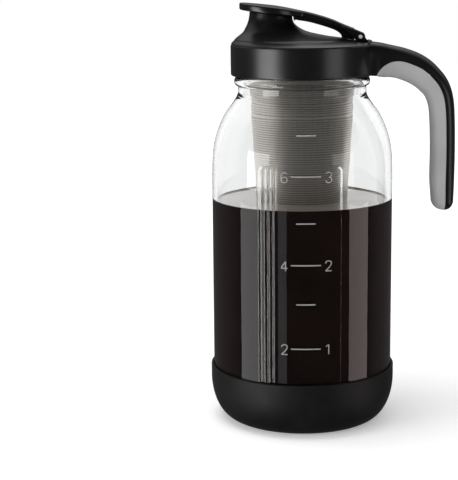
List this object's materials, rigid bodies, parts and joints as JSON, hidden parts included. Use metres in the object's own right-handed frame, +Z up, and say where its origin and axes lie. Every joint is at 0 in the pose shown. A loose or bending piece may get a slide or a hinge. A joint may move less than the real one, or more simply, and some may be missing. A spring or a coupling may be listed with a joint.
{
  "type": "cold brew coffee maker",
  "caption": "Wide-mouth glass jar in a rubbery boot, with a hanging conical mesh filter, a screw-on pouring lid with a side handle, and a hinged spout cap.",
  "frame": {"origin": "centre of the boot's underside, on the jar's axis", "axes": "+Z up along the jar's axis, -X towards the spout, +X towards the handle, -Y towards the measuring panel"},
  "size_m": [0.1586, 0.1206, 0.2719],
  "materials": {
    "clear_glass": "clear, moulded",
    "boot_silicone": "matte silicone",
    "polished_steel": "polished stainless steel",
    "mesh_steel": "fine woven stainless steel",
    "seal_silicone": "translucent silicone",
    "lid_plastic": "satin black",
    "grip_rubber": "soft-touch grey",
    "plug_silicone": "matte silicone"
  },
  "bodies": {
    "jar": {"glass_jar": "clear_glass", "silicone_boot": "boot_silicone"},
    "filter": {"filter_rim": "polished_steel", "filter_sleeve": "polished_steel", "filter_mesh": "mesh_steel", "filter_cup": "polished_steel"},
    "gasket": {"lid_gasket": "seal_silicone"},
    "lid": {"pouring_lid": "lid_plastic", "handle_grip": "grip_rubber"},
    "cap": {"flip_cap": "lid_plastic", "hinge_pin": "polished_steel", "spout_plug": "plug_silicone"}
  },
  "joints": [
    {"name": "filter_turn", "type": "hinge", "parent": "jar", "child": "filter", "pos_m": [0, 0, 0.239], "axis": [0, 0, 1], "continuous": true},
    {"name": "lid_rise", "type": "slide", "parent": "jar", "child": "gasket", "axis": [0, 0, 1], "range_m": [0, 0.00794]},
    {"name": "lid_turn", "type": "hinge", "parent": "gasket", "child": "lid", "pos_m": [0, 0, 0.24], "axis": [0, 0, 1], "range_deg": [0, 450]},
    {"name": "cap_hinge", "type": "hinge", "parent": "lid", "child": "cap", "pos_m": [0.037, 0, 0.25025], "axis": [0, 1, 0], "range_deg": [0, 110]}
  ],
  "couplings": [
    {"joint": "lid_rise", "follows": "lid_turn", "m_per_rad": 0.0010106}
  ]
}
